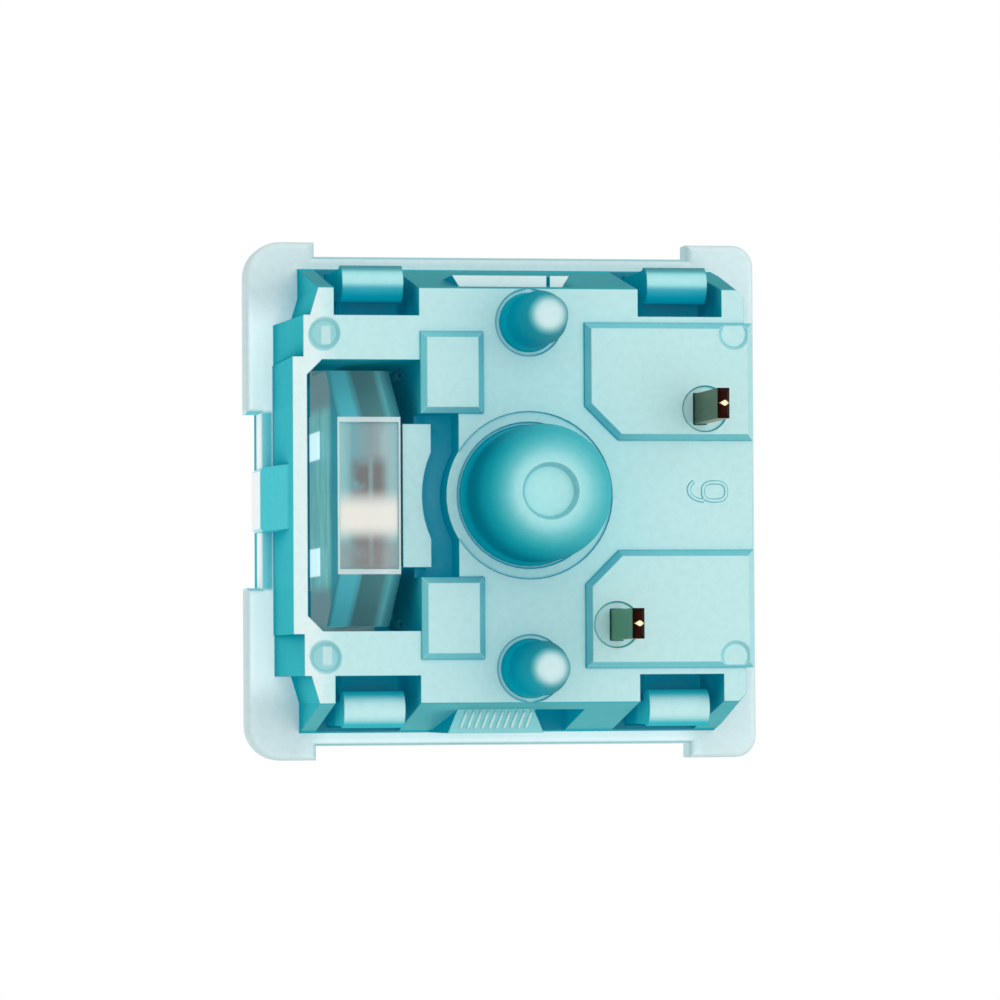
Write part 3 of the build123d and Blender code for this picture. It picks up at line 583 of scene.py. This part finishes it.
def clear_plastic():
    """Clear guide: grey and teal streaks run along it, and a painted glow stands in for the light it
    carries.
    """
    made, t = material("guide_clear")
    x, y, z = t.axes(t.place())
    normal = t.rounded(0.05 * MM)
    _, face_y, face_z = t.axes(normal)
    streak = t.noise(0.3 * MM, detail=2.0, stretch=(0.03, 1, 0.03))
    cloud = t.noise(0.7 * MM, detail=3.0)

    # The share of the way from the guide's front to its back, a little unsteady.
    run = t.add("MapRange", {"Value": y, "From Min": guide_low.y, "From Max": guide_high.y}).outputs[0]
    run = t.math("ADD", run, t.times(t.math("SUBTRACT", streak, 0.5), 0.16))

    body = t.ramp(run, GUIDE_BODY)
    foot = guide_foot(t, x, y, run, cloud)
    front = guide_front(t, x, z)
    facing_down = t.span(face_z, -0.6, -0.9)
    facing_front = t.span(face_y, -0.5, -0.9)
    above = t.span(z, 6.6 * MM, 6.9 * MM)
    colour = t.mix(facing_down, body, foot)
    colour = t.mix(facing_front, colour, front)
    colour = t.mix(above, colour, t.ramp(streak, GUIDE_TOP))

    # Painted glow, which stands in for light that the guide carries down, on its front and its sloping
    # ends.
    painted_glow = t.mix(0.55, DARK, body)
    painted_glow = t.mix(facing_down, painted_glow, t.mix(0.08, DARK, foot))
    painted_glow = t.mix(facing_front, painted_glow, t.mix(0.8, DARK, front))
    painted_glow = t.mix(above, painted_glow, DARK)

    shader = t.add("BsdfPrincipled", {
        "Base Color": colour,
        "Roughness": t.math("ADD", t.times(cloud, 0.1), 0.1),
        "Normal": t.bumped(normal, streak, 0.01 * MM, 0.2),
        "IOR": 1.5,
        "Transmission Weight": 0.15,
        "Emission Color": painted_glow,
        "Emission Strength": 1.0,
    })
    t.surface(shader)
    return made


def pin_tint(t, colour, streak, bright):
    """A pin has a green painted reflection of the teal housing on its -Y side, and painted shade on its
    cut tip with a painted glint in the middle.
    """
    x, y, z = t.axes(t.place())
    spot_x, spot_y, spot_shift = 0.1 * MM, 0.18 * MM, 0.02 * MM
    face_y = t.axes(t.add("NewGeometry").outputs["True Normal"])[1]
    green = t.mix(t.span(y, 3.4 * MM, 4.2 * MM), TEAL_REFLECTION, DARK_TEAL_REFLECTION)
    green = t.mix(t.span(streak, 0.3, 0.7), green, t.mix(0.2, green, bright))
    colour = t.mix(t.span(face_y, -0.3, -0.7), colour, green)
    colour = t.mix(t.span(z, pin_low.z + 0.2 * MM, pin_low.z + 0.1 * MM), colour, SHADED_TIP)
    for pin_x, pin_y in PINS:
        off_x = t.math("DIVIDE", t.off(x, pin_x), spot_x)
        off_y = t.math("DIVIDE", t.off(y, pin_y + spot_shift), spot_y)
        glint = t.span(t.math("ADD", off_x, off_y), 1.0, 0.7)
        glint = t.times(glint, t.span(z, pin_low.z + 0.1 * MM, pin_low.z + 0.05 * MM))
        colour = t.mix(glint, colour, GLINT)
    return colour


def metal(name, dull, bright, rough, stretch=(1, 1, 0.1), tint=None):
    """Sheet or wire metal with fine drawn streaks, which are longest where stretch is smallest."""
    made, t = material(name)
    streak = t.noise(0.12 * MM, detail=4.0, stretch=stretch)
    colour = t.ramp(streak, [(0.3, dull), (0.7, bright)])
    if tint:
        colour = tint(t, colour, streak, bright)
    shader = t.add("BsdfPrincipled", {
        "Base Color": colour,
        "Metallic": 1.0,
        "Roughness": t.math("ADD", t.times(streak, 0.15), rough),
        "Normal": t.bumped(t.rounded(0.03 * MM), streak, 0.004 * MM, 0.5),
    })
    t.surface(shader)
    return made


turquoise = moulded_plastic("housing_turquoise", HOUSING_OPEN, HOUSING_WALL, HOUSING_PAINTED_GLOW,
                            tint=housing_tint)
cover_turquoise = moulded_plastic("cover_turquoise", COVER_OPEN, HOUSING_WALL, HOUSING_PAINTED_GLOW,
                                  tint=cover_tint, own_shade=False)
offwhite = moulded_plastic("stem_offwhite", STEM_OPEN, STEM_WALL, rough=0.36)
clear = clear_plastic()
bronze = metal("terminal_bronze", srgb(160, 134, 96), srgb(178, 150, 110), rough=0.32, tint=pin_tint)
leaf_metal = metal("leaf_bronze", srgb(176, 112, 70), srgb(216, 150, 104), rough=0.2)
gold = metal("contact_gold", srgb(214, 160, 70), srgb(246, 204, 120), rough=0.18, stretch=(1, 1, 1))
steel = metal("spring_steel", srgb(150, 152, 155), srgb(206, 208, 210), rough=0.22,
              stretch=(0.3, 0.3, 1))


# ---------------------------------------------------------------- helpers for pieces
def dress(obj, made):
    obj.data.materials.clear()
    obj.data.materials.append(made)


def add_object(name, data):
    obj = bpy.data.objects.new(name, data)
    bpy.context.scene.collection.objects.link(obj)
    return obj


def mesh_object(name, bm, made):
    mesh = bpy.data.meshes.new(name)
    bm.to_mesh(mesh)
    bm.free()
    obj = add_object(name, mesh)
    dress(obj, made)
    return obj


def mesh_piece(name, bm, made, body):
    """Turns a bmesh into a smooth piece that rides on a body."""
    bmesh.ops.recalc_face_normals(bm, faces=bm.faces[:])
    obj = mesh_object(name, bm, made)
    for polygon in obj.data.polygons:
        polygon.use_smooth = True
    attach(obj, body)
    return obj


def loft(bm, rings, closed=False):
    """Faces round a bar, between rings of points, and over its two ends unless it is closed."""
    pairs = list(zip(rings, rings[1:]))
    if closed:
        pairs.append((rings[-1], rings[0]))
    for one, two in pairs:
        for k in range(len(one)):
            after = (k + 1) % len(one)
            bm.faces.new((one[k], one[after], two[after], two[k]))
    if not closed:
        bm.faces.new(rings[0])
        bm.faces.new(list(reversed(rings[-1])))


for name, made in (
    ("bottom_housing", turquoise),
    ("top_housing", cover_turquoise),
    ("stem", offwhite),
    ("light_guide", clear),
    ("fixed_terminal", bronze),
    ("moving_terminal", bronze),
    ("contact_leaf", leaf_metal),
    ("moving_contact_point", gold),
    ("fixed_contact_point", gold),
):
    dress(nodes[name], made)


# ---------------------------------------------------------------- fine moulded detail
def bead(bm, path, width, rise, closed=False):
    """A raised bead under a flat face that looks down, along a path on that face."""
    flats = 6
    angles = [math.pi * k / flats for k in range(flats + 1)]
    last = len(path) - 1
    rings = []
    for i, point in enumerate(path):
        before = path[i - 1] if i > 0 or closed else point
        after = path[(i + 1) % len(path)] if i < last or closed else point
        run = (after - before).normalized()
        aside = Vector((-run.y, run.x, 0))
        ring = []
        for angle in angles:
            drop = Vector((0, 0, -rise * math.sin(angle)))
            ring.append(bm.verts.new(point + aside * (width / 2 * math.cos(angle)) + drop))
        rings.append(ring)
    loft(bm, rings, closed)


def mould_number():
    """The raised mould number on the floor between the pads, a 6 that lies on its side."""
    middle = Vector((0.11 * MM, 5.53 * MM, FLOOR_Z))
    loop_x, loop_y, squareness, loop_points = 0.27 * MM, 0.35 * MM, 0.75, 40
    tail_x, tail_y, tail_start, tail_step, tail_points = 0.32 * MM, 0.46 * MM, 270, 6, 24
    stroke, rise = 0.12 * MM, 0.028 * MM

    def on_loop(angle):
        side_x = math.copysign(abs(math.sin(angle)) ** squareness, math.sin(angle))
        side_y = math.copysign(abs(math.cos(angle)) ** squareness, math.cos(angle))
        return middle + Vector((loop_x * side_x, loop_y * side_y, 0))

    bm = bmesh.new()
    loop = [on_loop(2 * math.pi * k / loop_points) for k in range(loop_points)]
    bead(bm, loop, stroke, rise, closed=True)
    tail_middle = middle + Vector((tail_x - loop_x, -loop_y * 0.9, 0))
    angles = [math.radians(tail_start - tail_step * k) for k in range(tail_points)]
    tail = [tail_middle + Vector((tail_x * math.sin(a), tail_y * math.cos(a), 0)) for a in angles]
    bead(bm, tail, stroke, rise)
    return mesh_piece("mould_number", bm, turquoise, HOUSING)


def catch_ribs():
    """Fine slanted ribs across the lower face of the catch on the -X side."""
    outer_x = -6.84 * MM
    first_y, last_y, lean = -1.93 * MM, 0.02 * MM, 0.2 * MM
    count, parts = 10, 4
    width, rise = 0.11 * MM, 0.035 * MM
    bm = bmesh.new()
    for i in range(count):
        outer_y = first_y + (last_y - first_y) * i / (count - 1)
        start = Vector((outer_x, outer_y, CATCH_Z))
        stop = Vector((CATCH_X, outer_y + lean, CATCH_Z))
        bead(bm, [start.lerp(stop, part / parts) for part in range(parts + 1)], width, rise)
    return mesh_piece("catch_ribs", bm, turquoise, HOUSING)


def slot_ribs():
    """Half-round crush ribs on the light slot's back wall, one beside each end of the guide."""
    rib_x, rib_r = 3.73 * MM, 0.17 * MM
    low_z, high_z = 4.1 * MM, 5.95 * MM
    nose_length, nose_share = 0.15 * MM, 0.5  # the ribs taper to a smaller lower end
    levels = ((low_z, nose_share), (low_z + nose_length, 1.0), ((low_z + high_z) / 2, 1.0), (high_z, 1.0))
    flats = 12
    angles = [math.pi * k / flats for k in range(flats + 1)]
    bm = bmesh.new()
    for side in (-1, 1):
        rings = []
        for z, share in levels:
            ring = []
            for angle in angles:
                x = side * rib_x + rib_r * share * math.cos(angle)
                ring.append(bm.verts.new((x, SLOT_BACK_Y - rib_r * share * math.sin(angle), z)))
            rings.append(ring)
        loft(bm, rings)
    return mesh_piece("slot_ribs", bm, turquoise, HOUSING)


mould_number()
catch_ribs()
slot_ribs()


# ---------------------------------------------------------------- spring
def coil_spring():
    """Round wire wound in the CAD spring's box, with a closed turn at each end."""
    wire_r = 0.11 * MM
    turns, closed_turns = 13, 1
    rings_a_turn, points_a_ring = 40, 12
    radius = (spring_high.x - spring_low.x) / 2 - wire_r
    low_z = spring_low.z + wire_r
    height = spring_high.z - spring_low.z - 2 * wire_r
    closed_lead = 2 * wire_r * 1.05  # closed turns almost touch
    closed_rise = closed_lead * closed_turns
    open_lead = (height - 2 * closed_rise) / (turns - 2 * closed_turns)

    bm = bmesh.new()
    rings = []
    for step in range(turns * rings_a_turn + 1):
        turn = step / rings_a_turn
        if turn < closed_turns:
            rise = closed_lead * turn
        elif turn > turns - closed_turns:
            rise = height - closed_lead * (turns - turn)
        else:
            rise = closed_rise + open_lead * (turn - closed_turns)
        angle = 2 * math.pi * turn
        middle = Vector((radius * math.cos(angle), radius * math.sin(angle), low_z + rise))
        outward = Vector((math.cos(angle), math.sin(angle), 0))
        ring = []
        for k in range(points_a_ring):
            around = 2 * math.pi * k / points_a_ring
            up = Vector((0, 0, wire_r * math.sin(around)))
            ring.append(bm.verts.new(middle + outward * (wire_r * math.cos(around)) + up))
        rings.append(ring)
    loft(bm, rings)
    return mesh_piece("coil_spring", bm, steel, HOUSING)


spring = coil_spring()
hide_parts("spring")
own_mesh(spring)


# ---------------------------------------------------------------- stage, light and camera
def stage_floor():
    """Pale floor under the switch. It is seen from above only, so the underside stays in view."""
    half_width, drop = 0.6, 0.1 * MM
    made, t = material("floor_pale")
    camera_ray = t.add("LightPath").outputs["Is Camera Ray"]
    from_above = t.math("SUBTRACT", 1.0, t.add("NewGeometry").outputs["Backfacing"])
    paper = t.add("BsdfDiffuse", {"Color": srgb(246, 247, 247)}).outputs[0]
    nothing = t.add("BsdfTransparent").outputs[0]
    t.surface(t.add("MixShader", {0: t.times(camera_ray, from_above), 1: nothing, 2: paper}))

    bm = bmesh.new()
    low_z = cad_box[0].z - drop
    sides = ((-1, -1), (1, -1), (1, 1), (-1, 1))
    bm.faces.new([bm.verts.new((x * half_width, y * half_width, low_z)) for x, y in sides])
    mesh_object("floor", bm, made)


def world_light(strength):
    """Even pale light, seen as plain white by the camera, by gloss and through clear plastic."""
    world = bpy.data.worlds.new("studio")
    bpy.context.scene.world = world
    world.use_nodes = True
    t = Tree(world.node_tree)
    path = t.add("LightPath").outputs
    direct = t.math("MAXIMUM", path["Is Camera Ray"], path["Is Glossy Ray"])
    direct = t.math("MAXIMUM", direct, path["Is Transmission Ray"])
    dim = t.add("Background", {"Color": WHITE, "Strength": strength}).outputs[0]
    white = t.add("Background", {"Color": WHITE, "Strength": 1.0}).outputs[0]
    t.surface(t.add("MixShader", {0: direct, 1: dim, 2: white}), "OutputWorld")


def soft_lamp(name, source, strength, spread):
    """A distant soft lamp. Source is the direction that its light comes from."""
    lamp = bpy.data.lights.new(name, "SUN")
    lamp.energy = strength
    lamp.angle = math.radians(spread)
    obj = add_object(name, lamp)
    obj.rotation_euler = Vector(source).to_track_quat("Z", "Y").to_euler()


def photo_camera():
    """Camera under the switch, looking up at its pins: +X is up in the picture, and +Y is right.

    Its place, aim, roll and lens were fitted to the standard spacing of the posts and pins.
    """
    place = Vector((-5.479, -26.603, -152.605)) * MM
    aim = Vector((-0.150, -0.933, 0)) * MM
    roll = Matrix.Rotation(math.radians(-0.33), 3, "Z")
    forward = (aim - place).normalized()
    sideways = forward.cross(Vector((1, 0, 0))).normalized()
    upward = sideways.cross(forward)
    turned = Matrix((sideways, upward, -forward)).transposed()
    data = bpy.data.cameras.new("camera")
    data.sensor_width = 36
    data.lens = 190.45
    data.clip_start = 0.01
    data.clip_end = 10
    camera = add_object("camera", data)
    camera.matrix_world = Matrix.Translation(place) @ (turned @ roll).to_4x4()
    bpy.context.scene.camera = camera


stage_floor()
world_light(strength=0.66)
soft_lamp("lamp_below", source=(0.1, 0.3, -1), strength=1.1, spread=80)
soft_lamp("lamp_above", source=(-0.35, -0.5, 1), strength=1.1, spread=60)
photo_camera()
bpy.context.scene.view_settings.view_transform = "Standard"
